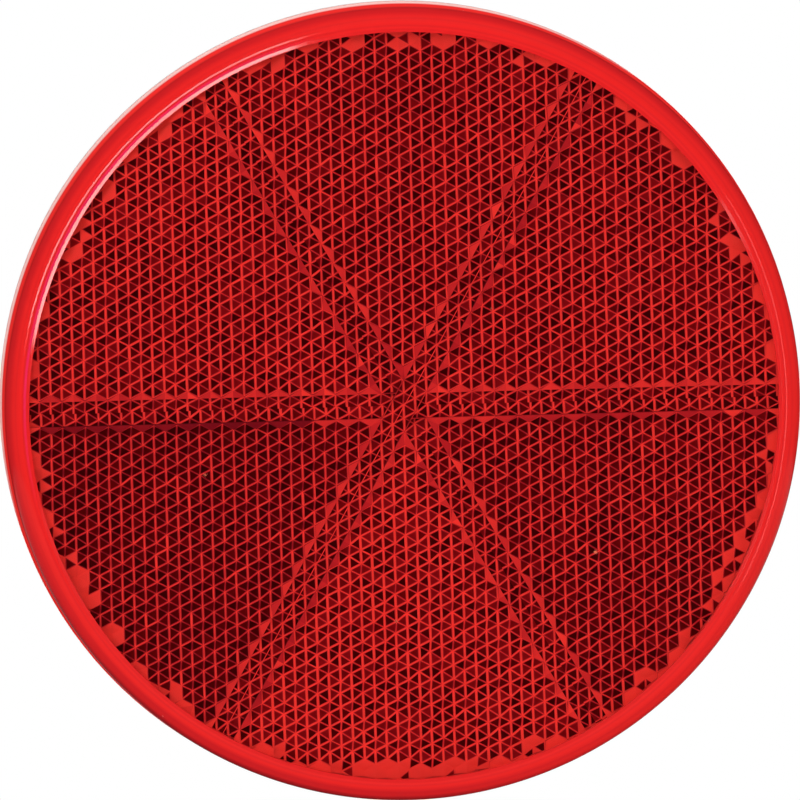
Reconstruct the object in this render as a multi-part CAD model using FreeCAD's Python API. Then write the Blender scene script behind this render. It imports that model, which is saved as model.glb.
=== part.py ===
import FreeCAD, Part
import math
import os

# Round stick-on reflector, in millimetres.
# A clear red lens carries a field of cube-corner prisms on its back. A pale plate is welded to
# the lens's skirt and closes the air space behind the prisms. A foam pad on the plate holds the
# reflector to a flat surface, and a release liner covers the pad until then.
# The part stands as it is used: +Z is up, the front faces -Y, and the origin is the centre of
# the face that goes against the surface.

# Lens, one clear moulding
outer_diameter = 80.0        # over the rear edge of the skirt
side_draft_deg = 5.0         # lean of the side, narrower towards the front
front_edge_radius = 2.0      # round between the front and the side
front_edge_bands = 4         # cone bands that make up this round
rear_edge_chamfer = 0.15     # at the rear edge of the side
bevel_width = 0.35           # narrow bevel between the flat front and the round
bevel_drop = 0.1             # how far the bevel falls
face_thickness = 1.8         # flat front to the plane that the prisms stand on

# Prism field, moulded on the back of the lens by hexagonal pins
pin_across_flats = 2.265     # width of one pin
rim_width = 2.55             # smooth rim, from the edge of the field to the outside
field_cuts = 90              # short straight cuts that make up the round edge of the field
joint_gap = 0.06             # flat line along both edges of each bar
field_margin = 0.4           # flat ring from the field to the inside of the skirt
prism_clearance = 1.0        # air from the prism tips to the back plate

# Back plate
flange_thickness = 1.2       # plate behind the skirt, as wide as the lens
boss_height = 1.2            # low boss that centres the plate inside the skirt
boss_clearance = 0.1         # from the boss to the inside of the skirt
flange_edge_chamfer = 0.3    # at the rear edge of the plate

# Adhesive pad and its release liner
pad_setback = 4.0            # from the outside of the plate in to the edge of the pad
pad_thickness = 1.0
liner_thickness = 0.12
liner_overhang = 0.4         # how far the liner passes the pad all round
tab_width = 14.0             # finger tab at the bottom of the liner
tab_reach = 1.6              # from the liner's round edge to the end of the tab
tab_corner_radius = 1.2

# Cuts through the prisms leave no slivers: no step and no facet smaller than these
snap = 0.01
smallest_facet = 0.01
digits = 9                   # decimals kept, so that corners shared by facets are equal

# One pin: its end has three square faces that meet at a tip two levels above the base plane.
# Three corners of the hexagon lie one level up, and the three between them lie on the plane.
pin_side = pin_across_flats / math.sqrt(3)
level_height = pin_side / math.sqrt(2)
prism_height = 2 * level_height
row_spacing = 1.5 * pin_side
raised_corner_angles = (30, 150, 270)

# The star: three bars, each one row of pins wide, cross at the centre between six wedges
bar_angles = (60, 0, 120)
bar_half_width = pin_side - joint_gap
wedge_angle = 60

# Places along the depth, forward from the face that is stuck down
pad_rear = liner_thickness
plate_rear = pad_rear + pad_thickness
skirt_rear = plate_rear + flange_thickness
plate_front = skirt_rear + boss_height
prism_tips = plate_front + prism_clearance
prism_base = prism_tips + prism_height
front = prism_base + face_thickness

# Radii
outer_radius = outer_diameter / 2
field_radius = outer_radius - rim_width
chamber_radius = field_radius + field_margin
boss_radius = chamber_radius - boss_clearance
pad_radius = outer_radius - pad_setback
liner_radius = pad_radius + liner_overhang


def spot(across, up, forward):
    """A point that lies across to the right, up, and forward from the stuck-down face."""
    return FreeCAD.Vector(across, -forward, up)


def turned(section):
    """Solid of revolution about the part's axis, from points (radius, forward) of a section."""
    points = [spot(radius, 0, forward) for radius, forward in section]
    outline = Part.makePolygon(points + points[:1])
    return Part.Face(outline).revolve(spot(0, 0, 0), FreeCAD.Vector(0, 1, 0), 360)


def polar(radius, angle):
    return (radius * math.cos(math.radians(angle)), radius * math.sin(math.radians(angle)))


def pin_facets(centre):
    """The three square faces of one pin, each as points (across, up, height over the plane)."""
    tip = (centre[0], centre[1], prism_height)
    facets = []
    for angle in raised_corner_angles:
        facet = [tip]
        for turn, height in ((0, level_height), (60, 0.0), (120, level_height)):
            across, up = polar(pin_side, angle + turn)
            facet.append((centre[0] + across, centre[1] + up, height))
        facets.append([tuple(round(value, digits) for value in corner) for corner in facet])
    return facets


def depth_past(point, cut):
    """How far a point lies outside a straight cut (normal angle, distance from the centre)."""
    across, up = polar(1, cut[0])
    return point[0] * across + point[1] * up - cut[1]


def trimmed(facet, cut):
    """The part of a facet on the centre's side of a cut.

    Both facets of an edge cut it from the same end, so that the new corners are equal.
    """
    kept = []
    for last, here in zip(facet[-1:] + facet[:-1], facet):
        low, high = sorted((last, here))
        depth_low, depth_high = depth_past(low, cut), depth_past(high, cut)
        if min(depth_low, depth_high) < -snap and max(depth_low, depth_high) > snap:
            share = depth_low / (depth_low - depth_high)
            kept.append(tuple(round(a + (b - a) * share, digits) for a, b in zip(low, high)))
        if depth_past(here, cut) <= snap:
            kept.append(here)
    return kept


def plan_area(facet):
    doubled = 0
    for (x1, y1, _), (x2, y2, _) in zip(facet, facet[1:] + facet[:1]):
        doubled += x1 * y2 - x2 * y1
    return doubled / 2


def field_edge():
    """The straight cuts round the field."""
    apothem = field_radius * math.cos(math.pi / field_cuts)
    return [((i + 0.5) * 360 / field_cuts, apothem) for i in range(field_cuts)]


def block_facets(origin, cuts, whole_pins):
    """Facets of the pins of one block, inside its cuts and the edge of the field.

    A wedge keeps only whole pins along its cuts, and a bar has its pins cut straight there.
    """
    facets = []
    steps = math.ceil(field_radius / row_spacing) + 2
    for row in range(-steps, steps + 1):
        for column in range(-steps, steps + 1):
            centre = (origin[0] + (column + row / 2) * pin_across_flats,
                      origin[1] + row * row_spacing)
            if math.hypot(*centre) > field_radius:
                continue
            if max(depth_past(centre, cut) for cut in cuts) > pin_side:
                continue
            pin = pin_facets(centre)
            corners = [corner for facet in pin for corner in facet]
            if whole_pins and max(depth_past(c, cut) for c in corners for cut in cuts) > snap:
                continue
            needed = [cut for cut in cuts + field_edge()
                      if max(depth_past(corner, cut) for corner in corners) > snap]
            for facet in pin:
                for cut in needed:
                    facet = trimmed(facet, cut)
                if len(facet) > 2 and plan_area(facet) > smallest_facet:
                    facets.append(facet)
    return facets


def wedge_block(middle_angle):
    """Pins between two bars. Their points touch the bars, so flats are left in the notches."""
    cuts = [(middle_angle + 90 + wedge_angle / 2, -pin_side),
            (middle_angle - 90 - wedge_angle / 2, -pin_side)]
    return block_facets(polar(pin_side, middle_angle), cuts, True)


def bar_blocks():
    """The bars. The first runs right through, and the others stop short of those before."""
    blocks = []
    for place, angle in enumerate(bar_angles):
        sides = [(angle + 90, bar_half_width), (angle - 90, bar_half_width)]
        if place == 0:
            blocks.append(block_facets((0, 0), sides, False))
            continue
        for heading in (angle, angle + 180):
            ends = []
            for earlier in bar_angles[:place]:
                away = earlier + 90
                if math.cos(math.radians(away - heading)) > 0:
                    away -= 180
                ends.append((away, -pin_side))
            blocks.append(block_facets((0, 0), sides + ends, False))
    return blocks


def open_edges(facets):
    """Edges that only one facet has, as start point to end point, in the facets' own turn."""
    edges = set()
    for facet in facets:
        edges.update(zip(facet, facet[1:] + facet[:1]))
    return {start: end for start, end in edges if (end, start) not in edges}


def flat_polygon(points):
    """Wire round points (across, up, height over the prisms' base plane)."""
    corners = [spot(across, up, prism_base - height) for across, up, height in points]
    return Part.makePolygon(corners + corners[:1])


def block_skin(facets):
    """Faces of one block with its upright walls, and the wire where it leaves the plane."""
    faces = [Part.Face(flat_polygon(facet)) for facet in facets]
    edges = open_edges(facets)
    for start, end in edges.items():
        wall = [start, end, (end[0], end[1], 0.0), (start[0], start[1], 0.0)]
        wall = list(dict.fromkeys(wall))
        if len(wall) > 2:
            faces.append(Part.Face(flat_polygon(wall)))
    first = next(iter(edges))
    foot = [first]
    while edges[foot[-1]] != first:
        foot.append(edges[foot[-1]])
    return faces, flat_polygon([(across, up, 0.0) for across, up, _ in foot])


def lens_blank():
    """The lens before it gets its prisms: front, side, skirt and a plain base plane."""
    side_lean = math.tan(math.radians(side_draft_deg))
    shoulder = front - bevel_drop
    round_centre = shoulder - front_edge_radius
    side_distance = front_edge_radius / math.cos(math.radians(side_draft_deg))
    round_radius = outer_radius - (round_centre - skirt_rear) * side_lean - side_distance
    section = [(0, front), (round_radius - bevel_width, front)]
    for band in range(front_edge_bands + 1):
        angle = 90 - (90 - side_draft_deg) * band / front_edge_bands
        outward, forward = polar(front_edge_radius, angle)
        section.append((round_radius + outward, round_centre + forward))
    section += [
        (outer_radius - rear_edge_chamfer * side_lean, skirt_rear + rear_edge_chamfer),
        (outer_radius - rear_edge_chamfer, skirt_rear),
        (chamber_radius, skirt_rear),
        (chamber_radius, prism_base),
        (0, prism_base),
    ]
    return turned(section)


def on_base_plane(face):
    box = face.BoundBox
    plane = spot(0, 0, prism_base).y
    return abs(box.YMin - plane) < snap and abs(box.YMax - plane) < snap


def lens():
    blank = lens_blank()
    faces = [face for face in blank.Faces if not on_base_plane(face)]
    base_disc = [face for face in blank.Faces if on_base_plane(face)][0]
    outlines = [base_disc.OuterWire]
    wedges = [wedge_block(wedge_angle * (i + 0.5)) for i in range(360 // wedge_angle)]
    for facets in wedges + bar_blocks():
        skin, foot = block_skin(facets)
        faces += skin
        outlines.append(foot)
    faces.append(Part.makeFace(outlines, "Part::FaceMakerBullseye"))
    shell = Part.makeShell(faces)
    shell.sewShape()
    solid = Part.makeSolid(shell)
    if solid.Volume < 0:
        solid.reverse()
    return solid


def back_plate():
    return turned([
        (0, plate_front),
        (boss_radius, plate_front),
        (boss_radius, skirt_rear),
        (outer_radius, skirt_rear),
        (outer_radius, plate_rear + flange_edge_chamfer),
        (outer_radius - flange_edge_chamfer, plate_rear),
        (0, plate_rear),
    ])


def adhesive_pad():
    return turned([
        (0, plate_rear),
        (pad_radius, plate_rear),
        (pad_radius, pad_rear),
        (0, pad_rear),
    ])


def release_liner():
    forward = FreeCAD.Vector(0, -1, 0)
    disc = Part.makeCylinder(liner_radius, liner_thickness, spot(0, 0, 0), forward)
    tab_end = liner_radius + tab_reach
    tab = Part.makeBox(tab_width, liner_thickness, tab_end,
                       spot(-tab_width / 2, -tab_end, liner_thickness))
    corners = [edge for edge in tab.Edges
               if edge.CenterOfMass.z < -tab_end + snap and edge.Length < 2 * liner_thickness]
    tab = tab.makeFillet(tab_corner_radius, corners)
    return disc.fuse(tab).removeSplitter()


os.makedirs("parts", exist_ok=True)
for name, piece in (("lens", lens()),
                    ("back_plate", back_plate()),
                    ("adhesive_pad", adhesive_pad()),
                    ("release_liner", release_liner())):
    piece.exportStep(f"parts/{name}.step")
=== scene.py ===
import math
import random

import bpy
from mathutils import Matrix, Vector


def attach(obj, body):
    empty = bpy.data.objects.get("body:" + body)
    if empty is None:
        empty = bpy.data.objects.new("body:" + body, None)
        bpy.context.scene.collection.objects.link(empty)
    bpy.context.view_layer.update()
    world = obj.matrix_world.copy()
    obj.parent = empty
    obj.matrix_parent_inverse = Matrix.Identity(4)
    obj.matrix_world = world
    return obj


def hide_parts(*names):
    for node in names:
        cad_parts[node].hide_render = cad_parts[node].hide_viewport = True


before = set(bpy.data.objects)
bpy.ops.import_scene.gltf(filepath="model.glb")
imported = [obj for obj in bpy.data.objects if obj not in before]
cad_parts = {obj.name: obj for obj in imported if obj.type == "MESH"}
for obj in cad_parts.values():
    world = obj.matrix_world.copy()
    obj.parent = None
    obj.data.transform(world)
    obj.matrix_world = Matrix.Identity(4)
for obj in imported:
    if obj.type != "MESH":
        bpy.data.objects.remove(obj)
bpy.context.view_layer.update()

# Looks of a round red stick-on reflector. Lengths are in millimetres until a mesh is made.
# The front faces -Y and +Z is up. A depth is measured forward from the face that is stuck down.
MM = 0.001

# Prism field, as it is moulded on the back of the lens
PIN_WIDTH = 2.265
SIDE = PIN_WIDTH / math.sqrt(3)
LEVEL = SIDE / math.sqrt(2)
ROW_SPACING = 1.5 * SIDE
TIP_DEPTH = 4.52
BASE_DEPTH = TIP_DEPTH + 2 * LEVEL
JOINT_GAP = 0.06
FIELD_RADIUS = 37.45
FIELD_CUTS = 90
FIELD_APOTHEM = FIELD_RADIUS * math.cos(math.pi / FIELD_CUTS)
CHAMBER_RADIUS = 37.85
BACKING_GAP = 0.05
BACKING_STEPS = 180
SNAP = 0.01

# A pin whose centre lies within this radius is whole
WHOLE_REACH = FIELD_APOTHEM - SIDE

# The front shows without refraction, so the prisms stand where the clear lens makes them appear
LENS_INDEX = 1.49

# Rim and front of the lens
FACE_THICKNESS = 1.8
FRONT_DEPTH = BASE_DEPTH + FACE_THICKNESS
OUTER_RADIUS = 40.0
SKIRT_DEPTH = 2.32
SIDE_DRAFT = 5.0
ROUND_RADIUS = 2.0
ROUND_TURNS = 24
BEVEL_WIDTH = 0.35
BEVEL_DROP = 0.1
REAR_CHAMFER = 0.15
ROUND_DEPTH = FRONT_DEPTH - BEVEL_DROP - ROUND_RADIUS
LEAN = math.tan(math.radians(SIDE_DRAFT))
BEVEL_END = (OUTER_RADIUS - (ROUND_DEPTH - SKIRT_DEPTH) * LEAN
             - ROUND_RADIUS / math.cos(math.radians(SIDE_DRAFT)))
RIM_START = BEVEL_END - BEVEL_WIDTH

# How far the rim lies below the flat front and inside the solid's side and rear corner, and how
# far its inner edge goes down
FRONT_LAP = 0.002
SIDE_INSET = 0.03
CORNER_INSET = 0.05
INNER_EDGE = 0.12

# Directions in degrees, anticlockwise from the right: where the rim's painted light stays bright
# right to its edge, where it has a painted highlight fringe by its bevel, and where the end of its
# side is pale with a painted highlight. With each are the cosines of the angles away from it at
# which that begins and at which it is full.
LIT_SIDE = (-22.0, 0.35, 0.9)
FRINGE_SIDE = (148.0, 0.7, 0.9)
PALE_SIDE = (125.0, 0.3, 0.6)

# Facets are told apart by a code: the six spokes from 0 on, and then these
SIDE_LINES = 6
DARK_FACES = 12
FLAT = 18
SEAM = 19
BACKING = 20

# How each line of a pin shows: half width, and strength of its painted highlight from dim to
# bright. They go round anticlockwise, the spokes from the one at 30 degrees and the sides from
# the upper right one.
SPOKES = ((0.12, 0.90), (0.12, 0.50), (0.10, 0.52), (0.12, 0.86), (0.145, 1.00), (0.10, 0.52))
SIDES = ((0.10, 0.56), (0.125, 0.92), (0.145, 1.00), (0.10, 0.56), (0.125, 0.92), (0.145, 1.00))

# Strength of the painted highlight that is left at the soft outside of a line
LINE_EDGE = 0.26

# Painted light and shade: brightness of the six wedges, from the one at the right and up,
# anticlockwise
WEDGE_TONES = (0.98, 1.03, 1.12, 0.72, 1.34, 0.84)
BAR_TONE = 1.0

# Strength of the painted light on the flats beside the star's arms, from the arm at the right,
# anticlockwise. Each arm has the side towards the next arm first.
FLAT_GLOWS = (0.62, 0.40, 0.58, 0.42, 0.50, 0.70, 0.24, 0.58, 0.42, 0.60, 0.64, 0.62)

# Strength of the painted light on the flats of each arm close to the middle
HUB_REACH = 9.0
HUB_GLOWS = (0.62, 0.42, 0.42, 0.62, 0.48, 0.44)

# An upright wall beside a flat has this share of the flat's strength, as painted shade. A face
# of the solid is upright or level where its normal's depth part is within these limits.
WALL_SHARE = 0.6
UPRIGHT = 0.05
FULLY_LEVEL = 0.95

# Pins cut at the edge of the field, from this radius on: the share of them that is mostly bright
# with painted light, how bright, the share of the six facets that stay as they are in such a pin,
# and the tone of those that don't
EDGE_REACH = FIELD_RADIUS - 0.75 * SIDE
EDGE_LIT = 0.74
EDGE_GLOW = 0.95
EDGE_KEPT = 0.35
EDGE_TONE = 1.15

# Angle of each bar, and how far the second half of its pins is moved along it. The first bar
# runs right through, and the others stop at it.
BAR_JOGS = {60: 0.04, 0: 0.17, 120: 0.1}
BAR_ANGLES = tuple(BAR_JOGS)

# A fine painted highlight line where the two rows of pins meet in the first bar, with its
# strength in the middle and at its outside
SEAM_ANGLE = BAR_ANGLES[0]
SEAM_HALF_WIDTH = 0.05
SEAM_GLOWS = (0.55, 0.2)

# Points each way in the grid from which a wedge's pins are taken
WEDGE_ROWS = 41

BLACK = (0.0, 0.0, 0.0, 1.0)
WHITE = (1.0, 1.0, 1.0, 1.0)


def spot(across, up, depth):
    """A place in the part's frame, in metres."""
    return Vector((across, -depth, up)) * MM


def paint(red, green, blue):
    """A colour as a screen shows it, 0 to 255, as the light values that a shader takes."""
    linear = []
    for value in (red, green, blue):
        share = value / 255
        linear.append(share / 12.92 if share <= 0.04045 else ((share + 0.055) / 1.055) ** 2.4)
    return (*linear, 1.0)


def polar(radius, degrees):
    """Across and up of a point at this radius, anticlockwise from the right."""
    return radius * math.cos(math.radians(degrees)), radius * math.sin(math.radians(degrees))


# ---- Node trees ----

class Nodes:
    """Adds nodes to a tree. An input is a value or the socket that feeds it."""

    def __init__(self, tree):
        self.tree = tree

    def add(self, kind, inputs=None, **settings):
        made = self.tree.nodes.new(kind)
        for key, value in settings.items():
            setattr(made, key, value)
        for key, value in (inputs or {}).items():
            if isinstance(value, bpy.types.NodeSocket):
                self.tree.links.new(value, made.inputs[key])
            else:
                made.inputs[key].default_value = value
        return made

    def math(self, operation, *values):
        made = self.add("ShaderNodeMath", dict(enumerate(values)), operation=operation)
        return made.outputs[0]

    def mix(self, factor, first, second):
        made = self.add("ShaderNodeMix", {0: factor, 6: first, 7: second}, data_type="RGBA")
        return made.outputs[2]

    def ramp(self, factor, stops):
        made = self.add("ShaderNodeValToRGB", {0: factor})
        ends = made.color_ramp.elements
        ends[0].position, ends[0].color = stops[0]
        ends[1].position, ends[1].color = stops[-1]
        for place, colour in stops[1:-1]:
            ends.new(place).color = colour
        return made.outputs[0]

    def spread(self, value, low, high, start=0.0, end=1.0):
        """Start where the value is low, end where it is high, and even between them."""
        made = self.add("ShaderNodeMapRange", {"Value": value, "From Min": low, "From Max": high,
                                               "To Min": start, "To Max": end})
        return made.outputs[0]

    def radius(self, parts):
        """Distance from the part's axis."""
        return self.math("SQRT", self.math("ADD", self.math("POWER", parts[0], 2.0),
                                           self.math("POWER", parts[2], 2.0)))

    def reading(self, name):
        """A number that the mesh carries on its points."""
        return self.add("ShaderNodeAttribute", attribute_name=name).outputs["Fac"]

    def place(self):
        return self.add("ShaderNodeTexCoord").outputs["Object"]

    def grained(self, grain_scale, cloud_scale):
        """The fine grain and the slow clouds of a moulded surface."""
        made = self.add("ShaderNodeGroup", {"Grain Scale": grain_scale,
                                            "Cloud Scale": cloud_scale}, node_tree=GRAIN)
        return made.outputs["Height"], made.outputs["Cloud"]

    def dusted(self, speck_scale, amount):
        """The mask of the specks on a surface."""
        return self.add("ShaderNodeGroup", {"Speck Scale": speck_scale, "Amount": amount},
                        node_tree=DUST).outputs[0]

    def noise(self, place, scale, detail):
        made = self.add("ShaderNodeTexNoise", {"Vector": place, "Scale": scale, "Detail": detail})
        return made.outputs[0]

    def bump(self, height, distance, strength):
        made = self.add("ShaderNodeBump", {"Height": height, "Distance": distance,
                                           "Strength": strength})
        return made.outputs[0]


def shader_group(name, inputs, outputs):
    """An empty node group with named number sockets, and its two end nodes."""
    tree = bpy.data.node_groups.new(name, "ShaderNodeTree")
    for label, default in inputs.items():
        socket = tree.interface.new_socket(label, in_out="INPUT", socket_type="NodeSocketFloat")
        socket.default_value = default
    for label in outputs:
        tree.interface.new_socket(label, in_out="OUTPUT", socket_type="NodeSocketFloat")
    kit = Nodes(tree)
    return tree, kit, kit.add("NodeGroupInput").outputs, kit.add("NodeGroupOutput").inputs


def material(name):
    made = bpy.data.materials.new(name)
    made.use_nodes = True
    made.node_tree.nodes.clear()
    kit = Nodes(made.node_tree)
    return made, kit, kit.add("ShaderNodeOutputMaterial").inputs["Surface"]


def moulded_grain():
    """Fine grain of moulded or cut material, and slow changes of tone across it."""
    tree, kit, given, result = shader_group(
        "moulded_grain", {"Grain Scale": 2000.0, "Cloud Scale": 60.0}, ("Height", "Cloud"))
    place = kit.place()
    grain = kit.noise(place, given["Grain Scale"], 4.0)
    cloud = kit.noise(place, given["Cloud Scale"], 3.0)
    tree.links.new(grain, result["Height"])
    tree.links.new(cloud, result["Cloud"])
    return tree


def dust():
    """Small round specks that lie on a surface, as a mask from 0 to 1."""
    tree, kit, given, result = shader_group(
        "dust", {"Speck Scale": 500.0, "Amount": 0.1}, ("Mask",))
    place = kit.place()
    cells = kit.add("ShaderNodeTexVoronoi", {"Vector": place, "Scale": given["Speck Scale"]})
    chance = kit.add("ShaderNodeSeparateColor", {0: cells.outputs["Color"]}).outputs[0]
    chosen = kit.math("LESS_THAN", chance, given["Amount"])
    fade = kit.math("MULTIPLY", chance, 2.5)
    near = kit.spread(cells.outputs["Distance"], 0.1, 0.2, 1.0, 0.0)
    speck = kit.math("MULTIPLY", near, chosen)
    tree.links.new(kit.math("MULTIPLY", speck, kit.math("SUBTRACT", 1.0, fade)), result["Mask"])
    return tree


GRAIN = moulded_grain()
DUST = dust()


def prism_red():
    """Prisms through the lens: dark square faces in painted shade, moulded edges in painted
    highlight.
    """
    made, kit, surface = material("prism_red")
    glow = kit.reading("glow")
    node = kit.reading("node")
    tone = kit.reading("tone")
    code = kit.add("ShaderNodeCombineXYZ", {
        0: kit.math("ROUND", kit.math("MULTIPLY", kit.reading("pin"), 9973.0)),
        1: kit.math("ROUND", kit.reading("facet"))})
    luck = kit.add("ShaderNodeTexWhiteNoise", {"Vector": code.outputs[0]}).outputs["Value"]
    grain, cloud = kit.grained(1600.0, 45.0)
    # The wedge's tone, with slow clouds, is painted light and shade. The dark faces are painted
    # shade.
    lift = kit.math("MULTIPLY", tone, kit.spread(cloud, 0.3, 0.7, 0.86, 1.14))
    dark = kit.ramp(kit.math("MULTIPLY", luck, lift), (
        (0.0, paint(60, 0, 2)), (0.4, paint(82, 1, 4)), (0.75, paint(106, 4, 8)),
        (1.0, paint(136, 12, 18))))
    # A few pins get brighter lines at random: painted highlights.
    stray_highlight = kit.math("MULTIPLY", kit.math("GREATER_THAN", luck, 0.94), 0.6)
    swing = kit.math("ADD", kit.math("MULTIPLY_ADD", luck, 0.42, 0.76), stray_highlight)
    # Where the lines meet they get painted glints; the lines themselves are painted highlights.
    spark = kit.math("POWER", node, 3.0)
    lines = kit.math("MULTIPLY", glow, kit.math("MULTIPLY", swing, lift))
    strength = kit.math("MULTIPLY_ADD", kit.math("MULTIPLY", spark, glow), 0.35, lines)
    line = kit.ramp(strength, (
        (0.0, paint(72, 0, 3)), (0.2, paint(128, 8, 23)), (0.4, paint(198, 30, 36)),
        (0.6, paint(231, 46, 44)), (0.85, paint(254, 57, 49))))
    line = kit.mix(kit.math("MULTIPLY", spark, 0.7), line, paint(255, 56, 42))
    is_line = kit.math("GREATER_THAN", glow, 0.02)
    colour = kit.mix(is_line, dark, line)
    face = kit.bump(grain, 0.00002, 0.6)
    edge = kit.add("ShaderNodeMix", {0: kit.math("MULTIPLY", is_line, 0.85), 4: face,
                                     5: (0.0, -1.0, 0.0)}, data_type="VECTOR").outputs[1]
    shader = kit.add("ShaderNodeBsdfPrincipled", {
        "Base Color": colour, "Roughness": 0.5, "Specular IOR Level": 0.05, "Normal": edge})
    made.node_tree.links.new(shader.outputs[0], surface)
    return made


def rim_red():
    """Solid red of the rim: painted light where light comes through it, painted shade towards the
    side.
    """
    made, kit, surface = material("rim_red")
    parts = kit.add("ShaderNodeSeparateXYZ", {0: kit.place()}).outputs
    radius = kit.radius(parts)
    share = kit.spread(radius, RIM_START * MM, OUTER_RADIUS * MM)
    grain, cloud = kit.grained(900.0, 120.0)
    # The bands of painted shade start nearer to the front low down, and waver a little
    shift = kit.math("MULTIPLY_ADD", cloud, 0.1, -0.05)
    below = kit.math("DIVIDE", kit.math("MULTIPLY", parts[2], -0.22), radius)
    place = kit.math("ADD", share, kit.math("ADD", shift, kit.math("MAXIMUM", below, 0.0)))
    shaded = kit.ramp(place, (
        (0.0, paint(222, 33, 33)), (0.55, paint(225, 36, 34)), (0.7, paint(208, 31, 34)),
        (0.86, paint(204, 31, 34)), (0.93, paint(172, 26, 30)), (1.0, paint(150, 22, 28))))
    # The side wall is painted brighter: painted light on it.
    shaded = kit.mix(kit.spread(share, 0.86, 0.9), shaded, paint(255, 52, 47))
    # On the lit side the painted light stays bright right to the edge.
    lit = kit.ramp(place, (
        (0.0, paint(222, 34, 33)), (0.6, paint(229, 37, 35)), (0.9, paint(230, 38, 36)),
        (1.0, paint(220, 36, 38))))
    sides = []
    for heading, begins, full in (LIT_SIDE, FRINGE_SIDE, PALE_SIDE):
        across, up = polar(1.0, heading)
        along = kit.math("ADD", kit.math("MULTIPLY", parts[0], across),
                         kit.math("MULTIPLY", parts[2], up))
        sides.append(kit.spread(kit.math("DIVIDE", along, radius), begins, full))
    lit_side, fringe_side, pale_side = sides
    colour = kit.mix(lit_side, shaded, lit)
    rings = kit.add("ShaderNodeCombineXYZ", {0: radius}).outputs[0]
    drawn = kit.spread(kit.noise(rings, 2600.0, 3.0), 0.45, 0.75, 0.0, 0.45)
    drawn = kit.math("MULTIPLY", drawn, kit.math("ADD", cloud, 0.4))
    colour = kit.mix(drawn, colour, paint(184, 25, 34))
    # A magenta fringe of painted highlight beside the bevel, on one side.
    fringe = kit.ramp(share, ((0.11, BLACK), (0.15, WHITE), (0.18, WHITE), (0.24, BLACK)))
    colour = kit.mix(kit.math("MULTIPLY", fringe, fringe_side), colour, paint(222, 36, 80))
    # The end of the side is pale with a painted highlight, on one side.
    skirt = kit.ramp(share, ((0.935, BLACK), (0.96, WHITE)))
    colour = kit.mix(kit.math("MULTIPLY", skirt, pale_side), colour, paint(255, 206, 200))
    specks = kit.math("MULTIPLY", kit.dusted(1500.0, 0.006), 0.4)
    colour = kit.mix(specks, colour, paint(238, 150, 140))
    rough = kit.math("MULTIPLY_ADD", cloud, 0.08, 0.05)
    # The bevel is the shiniest, and the side wall has no gloss at its grazing edge
    polish = kit.spread(radius, (BEVEL_END - 0.03) * MM, (BEVEL_END + 0.05) * MM, 0.38, 0.25)
    matt_wall = kit.spread(radius, (OUTER_RADIUS - 0.40) * MM, (OUTER_RADIUS - 0.34) * MM,
                           1.0, 0.0)
    polish = kit.math("MULTIPLY", polish, matt_wall)
    shader = kit.add("ShaderNodeBsdfPrincipled", {
        "Base Color": colour, "Roughness": rough, "IOR": LENS_INDEX,
        "Specular IOR Level": polish, "Normal": kit.bump(grain, 0.000004, 0.5)})
    made.node_tree.links.new(shader.outputs[0], surface)
    return made


def clear_front():
    """The flat front: clear, with a polished surface, faint handling marks and specks."""
    made, kit, surface = material("clear_front")
    grain, cloud = kit.grained(350.0, 40.0)
    normal = kit.bump(grain, 0.000003, 0.4)
    clear = kit.add("ShaderNodeBsdfTransparent", {"Color": (1.0, 0.995, 0.995, 1.0)})
    rough = kit.math("MULTIPLY_ADD", cloud, 0.06, 0.02)
    gloss = kit.add("ShaderNodeBsdfGlossy", {"Color": WHITE, "Roughness": rough,
                                             "Normal": normal})
    fresnel = kit.add("ShaderNodeFresnel", {"IOR": 1.33, "Normal": normal}).outputs[0]
    glazed = kit.add("ShaderNodeMixShader", {0: fresnel, 1: clear.outputs[0],
                                             2: gloss.outputs[0]})
    speck = kit.add("ShaderNodeBsdfDiffuse", {"Color": paint(240, 120, 90)})
    cover = kit.math("MULTIPLY", kit.dusted(800.0, 0.004), 0.6)
    whole = kit.add("ShaderNodeMixShader", {0: cover, 1: glazed.outputs[0], 2: speck.outputs[0]})
    made.node_tree.links.new(whole.outputs[0], surface)
    return made


def pale_plastic():
    """Pale moulded plastic. Its edge beside the lens is tinted by the red light in there."""
    made, kit, surface = material("pale_plastic")
    grain, cloud = kit.grained(2600.0, 90.0)
    colour = kit.ramp(cloud, ((0.3, paint(216, 212, 207)), (0.7, paint(230, 227, 223))))
    specks = kit.math("MULTIPLY", kit.dusted(600.0, 0.04), 0.5)
    colour = kit.mix(specks, colour, paint(150, 146, 140))
    parts = kit.add("ShaderNodeSeparateXYZ", {0: kit.place()}).outputs
    edge = kit.spread(kit.radius(parts), (OUTER_RADIUS - 0.3) * MM, (OUTER_RADIUS - 0.05) * MM,
                      0.0, 0.8)
    front = kit.spread(parts[1], -(SKIRT_DEPTH - 0.9) * MM, -SKIRT_DEPTH * MM)
    colour = kit.mix(kit.math("MULTIPLY", edge, front), colour, paint(255, 176, 166))
    rough = kit.math("MULTIPLY_ADD", grain, 0.2, 0.42)
    shader = kit.add("ShaderNodeBsdfPrincipled", {
        "Base Color": colour, "Roughness": rough, "Normal": kit.bump(grain, 0.00002, 0.6)})
    made.node_tree.links.new(shader.outputs[0], surface)
    return made


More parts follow.
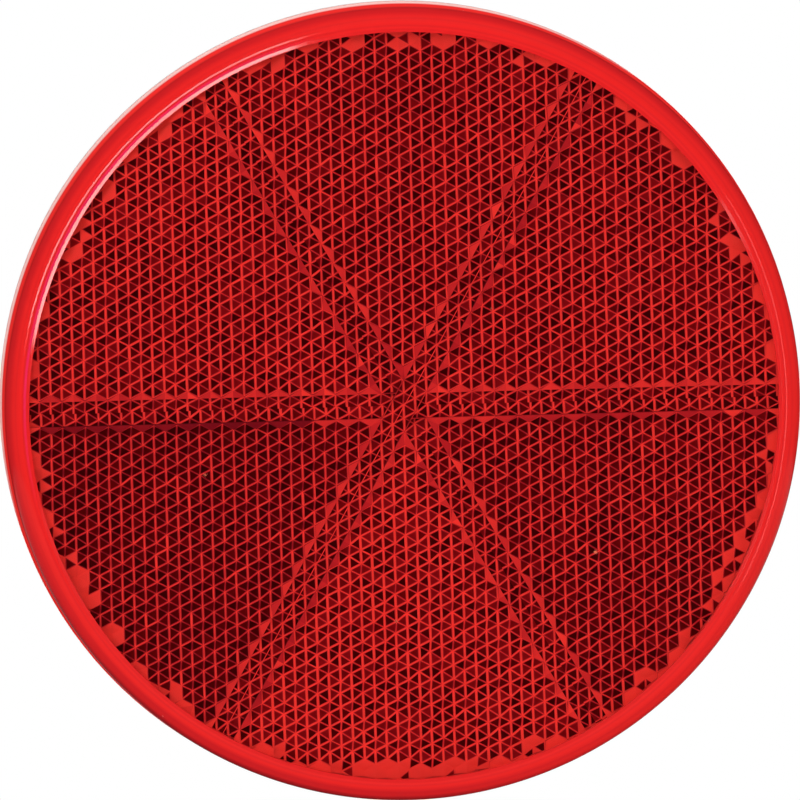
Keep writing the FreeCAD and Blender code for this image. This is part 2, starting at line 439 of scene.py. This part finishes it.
def foam():
    """Closed-cell foam: round cells of several sizes, cut open along the edge."""
    made, kit, surface = material("foam")
    place = kit.place()
    cloud = kit.grained(3500.0, 200.0)[1]
    cells = kit.add("ShaderNodeTexVoronoi", {"Vector": place, "Scale": 4200.0})
    pores = kit.add("ShaderNodeTexVoronoi", {"Vector": place, "Scale": 2300.0})
    depth = kit.math("ADD", cells.outputs["Distance"],
                     kit.math("MULTIPLY", pores.outputs["Distance"], 0.7))
    # The cells are painted darker down in their hollows: painted shade.
    colour = kit.ramp(depth, (
        (0.15, paint(38, 38, 41)), (0.7, paint(78, 78, 82)), (1.0, paint(96, 96, 100))))
    colour = kit.mix(kit.math("MULTIPLY", cloud, 0.3), colour, paint(60, 59, 60))
    shader = kit.add("ShaderNodeBsdfPrincipled", {
        "Base Color": colour, "Roughness": 0.85, "Normal": kit.bump(depth, 0.00012, 0.9)})
    made.node_tree.links.new(shader.outputs[0], surface)
    return made


def liner_paper():
    """Siliconised paper: long faint fibres under a thin slippery coat."""
    made, kit, surface = material("liner_paper")
    grain, cloud = kit.grained(3000.0, 35.0)
    drawn = kit.add("ShaderNodeMapping", {"Vector": kit.place(), "Scale": (1.0, 1.0, 0.25),
                                          "Rotation": (0.0, 0.3, 0.0)}).outputs[0]
    fibres = kit.noise(drawn, 2200.0, 6.0)
    colour = kit.ramp(fibres, (
        (0.3, paint(226, 219, 200)), (0.55, paint(238, 232, 216)), (0.8, paint(244, 240, 228))))
    colour = kit.mix(kit.math("MULTIPLY", cloud, 0.25), colour, paint(228, 220, 198))
    height = kit.math("ADD", fibres, kit.math("MULTIPLY", grain, 0.5))
    shader = kit.add("ShaderNodeBsdfPrincipled", {
        "Base Color": colour, "Roughness": 0.38, "Coat Weight": 0.25, "Coat Roughness": 0.25,
        "Normal": kit.bump(height, 0.00001, 0.7)})
    made.node_tree.links.new(shader.outputs[0], surface)
    return made


# ---- Meshes ----

def new_piece(name, points, faces, finish, numbers=None):
    """A mesh object. Each named number has one value for each point."""
    mesh = bpy.data.meshes.new(name)
    mesh.from_pydata(points, [], faces)
    for label, values in (numbers or {}).items():
        mesh.attributes.new(label, "FLOAT", "POINT").data.foreach_set("value", values)
    mesh.materials.append(finish)
    piece = bpy.data.objects.new(name, mesh)
    bpy.context.scene.collection.objects.link(piece)
    return piece


def at(across, up, height, glow=0.0, node=0.0):
    """A patch corner. Glow is its painted brightness, and node is 1 where the lines meet."""
    return Vector((across, up, height, glow, node))


def pin_patches():
    """One pin as flat patches: (corners, facet).

    Each of its six triangles is a patch of painted shade inside three strips of painted
    highlight, one along each edge. A strip is in two halves, so that it can be brighter at its
    ends.
    """
    patches = []
    triangle_height = SIDE * math.sqrt(3) / 2
    ring = [at(*polar(SIDE, 30 + 60 * k), LEVEL if k % 2 == 0 else 0.0) for k in range(7)]
    for k in range(6):
        corners = [at(0.0, 0.0, 2 * LEVEL), ring[k], ring[k + 1]]
        lines = (SPOKES[k], SIDES[k], SPOKES[(k + 1) % 6])
        codes = (k, SIDE_LINES + k, (k + 1) % 6)
        inset = [line[0] / triangle_height for line in lines]
        inner = []
        for i in range(3):
            shares = [0.0, 0.0, 0.0]
            shares[(i + 2) % 3] = inset[i]
            shares[(i + 1) % 3] = inset[(i + 2) % 3]
            shares[i] = 1 - sum(shares)
            inner.append(sum((c * s for c, s in zip(corners, shares)), at(0.0, 0.0, 0.0)))
        patches.append((inner, DARK_FACES + k))
        for i in range(3):
            strip = [corners[i], corners[(i + 1) % 3], inner[(i + 1) % 3], inner[i]]
            strength = lines[i][1]
            middle = [(strip[0] + strip[1]) / 2, (strip[2] + strip[3]) / 2]
            for start, start_inner, end_outer, end_inner in (
                    (strip[0], strip[3], middle[0], middle[1]),
                    (middle[0], middle[1], strip[1], strip[2])):
                half = []
                for corner, outside in ((start, True), (end_outer, True), (end_inner, False),
                                        (start_inner, False)):
                    glow = strength if outside else strength * LINE_EDGE
                    node = 1.0 if corner is strip[0] or corner is strip[1] else 0.0
                    half.append(at(*corner[:3], glow, node))
                patches.append((half, codes[i]))
    return patches


class PatchList:
    """Collects flat patches, and becomes a mesh with its numbers on the points."""

    def __init__(self):
        self.points, self.faces = [], []
        self.numbers = {"glow": [], "node": [], "facet": [], "pin": [], "tone": []}

    def add(self, corners, facet, pin=0.5, tone=1.0):
        """Adds a patch, with its corners anticlockwise from the front."""
        first = len(self.points)
        self.points += [spot(c[0], c[1], FRONT_DEPTH - (FACE_THICKNESS + c[2]) / LENS_INDEX)
                        for c in corners]
        self.faces.append(tuple(range(first, len(self.points))))
        self.numbers["glow"] += [c[3] for c in corners]
        self.numbers["node"] += [c[4] for c in corners]
        for label, value in (("facet", facet), ("pin", pin), ("tone", tone)):
            self.numbers[label] += [float(value)] * len(corners)


def trimmed(corners, angle, distance):
    """The part of a patch that lies on the centre's side of a straight cut."""
    across, up = polar(1, angle)
    kept = []
    for last, here in zip(corners[-1:] + corners[:-1], corners):
        past_last = last[0] * across + last[1] * up - distance
        past_here = here[0] * across + here[1] * up - distance
        if (past_last > 0) != (past_here > 0):
            kept.append(last.lerp(here, past_last / (past_last - past_here)))
        if past_here <= 0:
            kept.append(here)
    return kept


def field_cuts_near(centre):
    """The straight cuts of the field's edge that a pin at this centre may cross."""
    heading = math.degrees(math.atan2(centre[1], centre[0]))
    step = 360 / FIELD_CUTS
    middle = math.floor(heading / step)
    return [((middle + i + 0.5) * step, FIELD_APOTHEM) for i in (-1, 0, 1)]


def cut_pins(patches, pin, origin, cuts, tone, dice, only_edge):
    """Adds the pins of one block that are cut, by its own cuts or by the edge of the field."""
    steps = math.ceil(FIELD_RADIUS / ROW_SPACING) + 2
    for row in range(-steps, steps + 1):
        for column in range(-steps, steps + 1):
            centre = at(origin[0] + (column + row / 2) * PIN_WIDTH,
                        origin[1] + row * ROW_SPACING, 0.0)
            reach = math.hypot(centre[0], centre[1])
            past = max(centre[0] * polar(1, a)[0] + centre[1] * polar(1, a)[1] - d
                       for a, d in cuts)
            if reach > FIELD_RADIUS:
                continue
            if only_edge and (past > SNAP - SIDE or reach <= WHOLE_REACH):
                continue
            if not only_edge and past > SIDE:
                continue
            chance = dice.random()
            near = list(cuts) + (field_cuts_near(centre) if reach > WHOLE_REACH else [])
            # Some cut pins by the edge are painted bright: painted light.
            bright = reach > EDGE_REACH and dice.random() < EDGE_LIT
            lit = [bright and dice.random() > EDGE_KEPT for _ in range(6)]
            for number, (corners, facet) in enumerate(pin):
                corners = [corner + centre for corner in corners]
                shown = lit[number * 6 // len(pin)]
                if shown:
                    corners = [at(*corner[:3], EDGE_GLOW) for corner in corners]
                for angle, distance in near:
                    if corners:
                        corners = trimmed(corners, angle, distance)
                if len(corners) > 2:
                    patches.add(corners, facet, chance, EDGE_TONE if shown else tone)


def bar_cuts():
    """The straight cuts of each piece of bar. The first bar runs right through the middle."""
    blocks = []
    half_width = SIDE - JOINT_GAP
    for place, angle in enumerate(BAR_ANGLES):
        sides = [(angle + 90, half_width), (angle - 90, half_width)]
        if place == 0:
            blocks.append((angle, sides))
            continue
        for heading in (angle, angle + 180):
            ends = []
            for earlier in BAR_ANGLES[:place]:
                away = earlier + 90
                if math.cos(math.radians(away - heading)) > 0:
                    away -= 180
                ends.append((away, -SIDE))
            blocks.append((angle, sides + ends))
    return blocks


def wedge_tree():
    """Geometry nodes that lay out the whole pins of one wedge on points."""
    tree = bpy.data.node_groups.new("wedge_of_pins", "GeometryNodeTree")
    sockets = {}
    for label, kind, default in (
            ("Pin", "NodeSocketObject", None), ("Finish", "NodeSocketMaterial", None),
            ("Pin Width", "NodeSocketFloat", PIN_WIDTH * MM),
            ("Rows", "NodeSocketInt", WEDGE_ROWS), ("Middle Angle", "NodeSocketFloat", 0.0),
            ("Setback", "NodeSocketFloat", SIDE * MM),
            ("Whole Reach", "NodeSocketFloat", WHOLE_REACH * MM),
            ("Tone", "NodeSocketFloat", 1.0), ("Seed", "NodeSocketInt", 1)):
        socket = tree.interface.new_socket(label, in_out="INPUT", socket_type=kind)
        if default is not None:
            socket.default_value = default
        sockets[label] = socket.identifier
    tree.interface.new_socket("Geometry", in_out="OUTPUT", socket_type="NodeSocketGeometry")
    kit = Nodes(tree)
    given = kit.add("NodeGroupInput").outputs
    width = given["Pin Width"]
    span = kit.math("SUBTRACT", given["Rows"], 1.0)
    # A grid of points one pin apart, with each row half a pin further along than the last
    grid = kit.add("GeometryNodeMeshGrid", {"Size X": span, "Size Y": span,
                                            "Vertices X": given["Rows"],
                                            "Vertices Y": given["Rows"]}).outputs["Mesh"]
    here = kit.add("ShaderNodeSeparateXYZ",
                   {0: kit.add("GeometryNodeInputPosition").outputs[0]}).outputs
    slid = kit.math("MULTIPLY_ADD", here[1], 0.5, here[0])
    turn = kit.math("RADIANS", given["Middle Angle"])
    across = kit.math("MULTIPLY_ADD", slid, width,
                      kit.math("MULTIPLY", kit.math("COSINE", turn), given["Setback"]))
    up = kit.math("MULTIPLY_ADD", here[1], kit.math("MULTIPLY", width, math.sqrt(3) / 2),
                  kit.math("MULTIPLY", kit.math("SINE", turn), given["Setback"]))
    centre = kit.add("ShaderNodeCombineXYZ", {0: across, 1: 0.0, 2: up}).outputs[0]
    laid = kit.add("GeometryNodeSetPosition", {"Geometry": grid, "Position": centre}).outputs[0]
    there = kit.add("ShaderNodeSeparateXYZ",
                    {0: kit.add("GeometryNodeInputPosition").outputs[0]}).outputs
    # Pins beyond the wedge's two sides or cut by the edge of the field go
    limit = kit.math("MULTIPLY_ADD", given["Setback"], -2.0, SNAP * MM)
    outside = []
    for lean in (120.0, -120.0):
        away = kit.math("RADIANS", kit.math("ADD", given["Middle Angle"], lean))
        past = kit.math("MULTIPLY_ADD", there[0], kit.math("COSINE", away),
                        kit.math("MULTIPLY", there[2], kit.math("SINE", away)))
        outside.append(kit.math("GREATER_THAN", past, limit))
    reach = kit.math("SQRT", kit.math("MULTIPLY_ADD", there[0], there[0],
                                      kit.math("MULTIPLY", there[2], there[2])))
    outside.append(kit.math("GREATER_THAN", reach, given["Whole Reach"]))
    drop = kit.math("MAXIMUM", kit.math("MAXIMUM", outside[0], outside[1]), outside[2])
    left = kit.add("GeometryNodeDeleteGeometry", {"Geometry": laid, "Selection": drop},
                   domain="POINT").outputs[0]
    shape = kit.add("GeometryNodeObjectInfo", {"Object": given["Pin"]}).outputs["Geometry"]
    pins = kit.add("GeometryNodeInstanceOnPoints", {"Points": left, "Instance": shape}).outputs[0]
    chance = kit.add("FunctionNodeRandomValue", {"Seed": given["Seed"]}, data_type="FLOAT")
    for label, value in (("pin", chance.outputs[1]), ("tone", given["Tone"])):
        pins = kit.add("GeometryNodeStoreNamedAttribute",
                       {"Geometry": pins, "Name": label, "Value": value},
                       data_type="FLOAT", domain="INSTANCE").outputs[0]
    whole = kit.add("GeometryNodeRealizeInstances", {0: pins}).outputs[0]
    done = kit.add("GeometryNodeSetMaterial", {"Geometry": whole,
                                               "Material": given["Finish"]}).outputs[0]
    kit.add("NodeGroupOutput", {0: done})
    return tree, sockets


def whole_pins(finish):
    """The whole pins of the six wedges, as one mesh a wedge."""
    prototype = PatchList()
    for corners, facet in pin_patches():
        prototype.add(corners, facet)
    for label in ("pin", "tone"):
        del prototype.numbers[label]
    pin = new_piece("pin", prototype.points, prototype.faces, finish, prototype.numbers)
    tree, sockets = wedge_tree()
    meshes = []
    for i, tone in enumerate(WEDGE_TONES):
        carrier = new_piece("wedge", [], [], finish)
        modifier = carrier.modifiers.new("pins", "NODES")
        modifier.node_group = tree
        for label, value in (("Pin", pin), ("Finish", finish), ("Middle Angle", 30.0 + 60.0 * i),
                             ("Tone", tone), ("Seed", 11 + i)):
            modifier[sockets[label]] = value
        graph = bpy.context.evaluated_depsgraph_get()
        meshes.append(bpy.data.meshes.new_from_object(carrier.evaluated_get(graph)))
        bpy.data.objects.remove(carrier)
    bpy.data.objects.remove(pin)
    return meshes


def flat_glow(across, up):
    """Painted brightness of a flat at this place."""
    if math.hypot(across, up) > WHOLE_REACH:
        return EDGE_GLOW
    arm = round(math.degrees(math.atan2(up, across)) / 60) % 6
    if math.hypot(across, up) < HUB_REACH:
        return HUB_GLOWS[arm]
    heading = polar(1, 60 * arm)
    later_side = heading[0] * up > heading[1] * across
    return FLAT_GLOWS[2 * arm + (0 if later_side else 1)]


def moulded_flats(patches, dice):
    """Flats and upright walls between the pins, turned to face the front."""
    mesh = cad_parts["lens"].data
    mesh.calc_loop_triangles()
    for triangle in mesh.loop_triangles:
        corners = [mesh.vertices[i].co / MM for i in triangle.vertices]
        heights = [c.y + BASE_DEPTH for c in corners]
        reach = max(math.hypot(c.x, c.z) for c in corners)
        level = abs(triangle.normal.y)
        if reach > CHAMBER_RADIUS + SNAP or UPRIGHT < level < FULLY_LEVEL:
            continue
        if min(heights) < -SNAP or max(heights) > 2 * LEVEL + SNAP:
            continue
        if level <= UPRIGHT and reach > FIELD_RADIUS + SNAP:
            continue
        glow = flat_glow(sum(c.x for c in corners) / 3, sum(c.z for c in corners) / 3)
        # An upright wall is darker than its flat: painted shade.
        if level <= UPRIGHT:
            glow *= WALL_SHARE
        turned = [at(c.x, c.z, height, glow) for c, height in zip(corners, heights)]
        patches.add(turned[::-1], FLAT, dice.random(), 1.0)


def prism_field():
    """All prisms, flats and bars of the lens, closed behind by a disc, as one piece."""
    finish = prism_red()
    dice = random.Random(5)
    patches = PatchList()
    pin = pin_patches()
    for i, tone in enumerate(WEDGE_TONES):
        middle = 30 + 60 * i
        cuts = [(middle + 120, -SIDE), (middle - 120, -SIDE)]
        cut_pins(patches, pin, polar(SIDE, middle), cuts, tone, dice, True)
    for angle, cuts in bar_cuts():
        jog = polar(BAR_JOGS[angle], angle)
        cut_pins(patches, pin, (0, 0), cuts + [(angle - 90, 0)], BAR_TONE, dice, False)
        cut_pins(patches, pin, jog, cuts + [(angle + 90, 0)], BAR_TONE, dice, False)
    moulded_flats(patches, dice)
    # The seam is a painted highlight.
    ends = [polar(FIELD_RADIUS, SEAM_ANGLE), polar(FIELD_RADIUS, SEAM_ANGLE + 180)]
    aside = polar(SEAM_HALF_WIDTH, SEAM_ANGLE + 90)
    for side in (-1, 1):
        seam = [at(*end, -BACKING_GAP, SEAM_GLOWS[0]) for end in ends]
        seam += [at(end[0] + side * aside[0], end[1] + side * aside[1], -BACKING_GAP,
                    SEAM_GLOWS[1]) for end in ends[::-1]]
        patches.add(seam[::side], SEAM)
    backing = [at(*polar(CHAMBER_RADIUS, 360 * i / BACKING_STEPS), 2 * LEVEL + BACKING_GAP)
               for i in range(BACKING_STEPS)]
    patches.add(backing, BACKING)
    rest = new_piece("prism_field", patches.points, patches.faces, finish, patches.numbers)
    for mesh in whole_pins(finish):
        wedge = bpy.data.objects.new("wedge", mesh)
        bpy.context.scene.collection.objects.link(wedge)
        with bpy.context.temp_override(active_object=rest, selected_editable_objects=[rest, wedge]):
            bpy.ops.object.join()
    sheet = rest.data.uv_layers.new(name="OFBake")
    for loop in rest.data.loops:
        place = rest.data.vertices[loop.vertex_index].co / (2 * OUTER_RADIUS * MM)
        sheet.data[loop.index].uv = (place.x + 0.5, place.z + 0.5)
    return rest


def revolved(name, profile, finish, steps=360, closed=False, capped=False):
    """A surface turned about the part's axis from points (radius, depth), front first."""
    points, faces = [], []
    for radius, depth in profile:
        points += [spot(*polar(radius, 360 * i / steps), depth) for i in range(steps)]
    count = len(profile)
    for ring in range(count if closed else count - 1):
        after = (ring + 1) % count
        for i in range(steps):
            j = (i + 1) % steps
            faces.append((ring * steps + i, after * steps + i, after * steps + j, ring * steps + j))
    if capped:
        faces.append(tuple(range(steps)))
    piece = new_piece(name, points, faces, finish)
    for face in piece.data.polygons:
        face.use_smooth = not capped
    return piece


def lens_rim():
    """The rim from the bevel over the front round and the side to the skirt and its inside.

    Rings close to both ends of the bevel and the side keep their shading flat in between.
    """
    profile = [(RIM_START + BEVEL_WIDTH * share, FRONT_DEPTH - FRONT_LAP - BEVEL_DROP * share)
               for share in (0.0, 0.06, 0.12, 0.88, 0.94)]
    for i in range(ROUND_TURNS + 1):
        out, forward = polar(ROUND_RADIUS, 90 - (90 - SIDE_DRAFT) * i / ROUND_TURNS)
        profile.append((BEVEL_END + out, ROUND_DEPTH + forward))
    wall_top = Vector(profile[-1])
    wall_end = Vector((OUTER_RADIUS - REAR_CHAMFER * LEAN - SIDE_INSET,
                       SKIRT_DEPTH + REAR_CHAMFER))
    profile += [wall_top.lerp(wall_end, share) for share in (0.03, 0.97, 1.0)]
    profile += [(OUTER_RADIUS - REAR_CHAMFER - CORNER_INSET, SKIRT_DEPTH),
                (CHAMBER_RADIUS, SKIRT_DEPTH),
                (CHAMBER_RADIUS, ROUND_DEPTH), (RIM_START, FRONT_DEPTH - INNER_EDGE)]
    return revolved("lens_rim", profile, rim_red(), closed=True)


def lens_front():
    """The flat front: rings, with a small disc in the middle."""
    profile = [(RIM_START * share, FRONT_DEPTH) for share in (0.02, 0.25, 0.5, 0.75, 0.9, 1.0)]
    return revolved("lens_front", profile, clear_front(), steps=180, capped=True)


# ---- The part ----

field = prism_field()
rim = lens_rim()
front = lens_front()
for piece in (field, rim, front):
    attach(piece, "root")
    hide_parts("lens")

for node, finish in (("back_plate", pale_plastic()), ("adhesive_pad", foam()),
                     ("release_liner", liner_paper())):
    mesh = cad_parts[node].data
    mesh.materials.clear()
    mesh.materials.append(finish)


# ---- Floor, light and camera ----

# The floor and the lamps are in metres
FLOOR_DROP = 0.3
FLOOR_REACH = 1.2
FLOOR_STEPS = 72

# Strength of the surroundings behind the part and at its sides, and in the dark front
BACK_FILL = 0.9
SIDE_FILL = 0.6
FRONT_FILL = 0.01
MIRRORED_DARK = 0.005

# How nearly a mirrored ray goes straight back, as the cosine with a minus sign, to meet the
# white wall above the horizon, and to meet it anywhere
WALL_ABOVE = -0.94
WALL_WHOLE = -0.985

# The camera stands this many degrees to the left and up, and looks at the aim
VIEW_LEFT = 4.3
VIEW_UP = 6.1
VIEW_DISTANCE = 1100.0
VIEW_ROLL = 1.0
FOCAL_LENGTH = 496.0
AIM = spot(-0.04, 0.09, 2.2)


def pale_floor():
    """Pale paper near the part, and plain white further away. Gloss sees a dim floor."""
    made, kit, surface = material("pale_floor")
    path = kit.add("ShaderNodeLightPath").outputs
    seen = kit.math("MAXIMUM", path["Is Camera Ray"], path["Is Transmission Ray"])
    away = kit.add("ShaderNodeVectorMath", {0: kit.place()}, operation="LENGTH").outputs["Value"]
    far = kit.spread(away, 0.4, 1.0)
    paper = kit.noise(kit.place(), 900.0, 3.0)
    colour = kit.ramp(paper, ((0.3, paint(236, 236, 236)), (0.7, paint(244, 244, 244))))
    matt = kit.add("ShaderNodeBsdfPrincipled", {
        "Base Color": colour, "Roughness": 0.9, "Emission Color": WHITE,
        "Emission Strength": kit.math("MULTIPLY", path["Is Camera Ray"], 0.45)})
    white = kit.add("ShaderNodeEmission", {"Color": WHITE, "Strength": 1.0})
    both = kit.add("ShaderNodeMixShader", {0: kit.math("MULTIPLY", seen, far),
                                           1: matt.outputs[0], 2: white.outputs[0]})
    dim = kit.add("ShaderNodeEmission", {"Color": WHITE,
                                         "Strength": kit.math("MULTIPLY", far, 0.3)})
    whole = kit.add("ShaderNodeMixShader", {0: path["Is Glossy Ray"], 1: both.outputs[0],
                                            2: dim.outputs[0]})
    made.node_tree.links.new(whole.outputs[0], surface)
    return made


def grey(level):
    return (level, level, level, 1.0)


def studio_world():
    """White to the camera. The light is bright behind the part and dark behind the camera.

    Gloss sees only the white wall behind the part, and is dark elsewhere.
    """
    world = bpy.data.worlds.new("studio")
    bpy.context.scene.world = world
    world.use_nodes = True
    world.node_tree.nodes.clear()
    kit = Nodes(world.node_tree)
    path = kit.add("ShaderNodeLightPath").outputs
    towards = kit.add("ShaderNodeTexCoord").outputs["Generated"]
    ahead = kit.add("ShaderNodeVectorMath", {0: towards, 1: (0.0, -1.0, 0.0)},
                    operation="DOT_PRODUCT").outputs["Value"]
    seen = kit.math("MAXIMUM", path["Is Glossy Ray"], path["Is Transmission Ray"])
    fill = kit.ramp(kit.math("MULTIPLY_ADD", ahead, 0.5, 0.5), (
        (0.2, grey(BACK_FILL)), (0.4, grey(SIDE_FILL)), (0.72, grey(SIDE_FILL)),
        (0.85, grey(FRONT_FILL))))
    height = kit.add("ShaderNodeSeparateXYZ", {0: towards}).outputs[2]
    above = kit.spread(height, 0.22, 0.7)
    wall = kit.math("MULTIPLY", above, kit.math("LESS_THAN", ahead, WALL_ABOVE))
    wall = kit.math("MAXIMUM", wall, kit.math("LESS_THAN", ahead, WALL_WHOLE))
    mirrored = kit.mix(wall, grey(MIRRORED_DARK), WHITE)
    colour = kit.mix(path["Is Camera Ray"], kit.mix(seen, fill, mirrored), WHITE)
    light = kit.add("ShaderNodeBackground", {"Color": colour, "Strength": 1.0})
    end = kit.add("ShaderNodeOutputWorld")
    world.node_tree.links.new(light.outputs[0], end.inputs["Surface"])


def softbox(name, towards, distance, size, radiance, turn=0.0, mirrored=True):
    """A flat area lamp that faces the middle of the part. Gloss mirrors it or leaves it out."""
    data = bpy.data.lights.new(name, "AREA")
    data.shape = "RECTANGLE"
    data.size, data.size_y = size
    data.energy = radiance * math.pi * size[0] * size[1]
    lamp = bpy.data.objects.new(name, data)
    bpy.context.scene.collection.objects.link(lamp)
    lamp.visible_glossy = mirrored
    direction = Vector(towards).normalized()
    facing = direction.to_track_quat("Z", "Y").to_matrix().to_4x4()
    lamp.matrix_world = (Matrix.Translation(direction * distance) @ facing
                         @ Matrix.Rotation(math.radians(turn), 4, "Z"))


floor_edge = [Vector((*polar(FLOOR_REACH, 360 * i / FLOOR_STEPS), -FLOOR_DROP))
              for i in range(FLOOR_STEPS)]
floor = new_piece("floor", floor_edge, [tuple(range(FLOOR_STEPS))], pale_floor())

studio_world()
softbox("upper_left", (-0.373, -1.0, 0.308), 0.7, (0.46, 0.09), 14.0, turn=45.0)
softbox("right", (0.68, -1.0, -0.10), 0.8, (0.06, 0.45), 4.0)
softbox("overhead", (0.1, -0.8, 1.0), 1.2, (1.0, 0.7), 2.6, mirrored=False)
softbox("front", (0.1, -1.0, 0.05), 1.3, (1.0, 0.5), 1.6, mirrored=False)

camera = bpy.data.objects.new("camera", bpy.data.cameras.new("camera"))
bpy.context.scene.collection.objects.link(camera)
left, up = math.radians(VIEW_LEFT), math.radians(VIEW_UP)
back = Vector((-math.sin(left) * math.cos(up), -math.cos(left) * math.cos(up), math.sin(up)))
facing = back.to_track_quat("Z", "Y").to_matrix().to_4x4()
camera.matrix_world = (Matrix.Translation(AIM + back * VIEW_DISTANCE * MM) @ facing
                       @ Matrix.Rotation(math.radians(-VIEW_ROLL), 4, "Z"))
camera.data.lens = FOCAL_LENGTH
camera.data.clip_start = 0.01
bpy.context.scene.camera = camera
bpy.context.scene.view_settings.view_transform = "Standard"
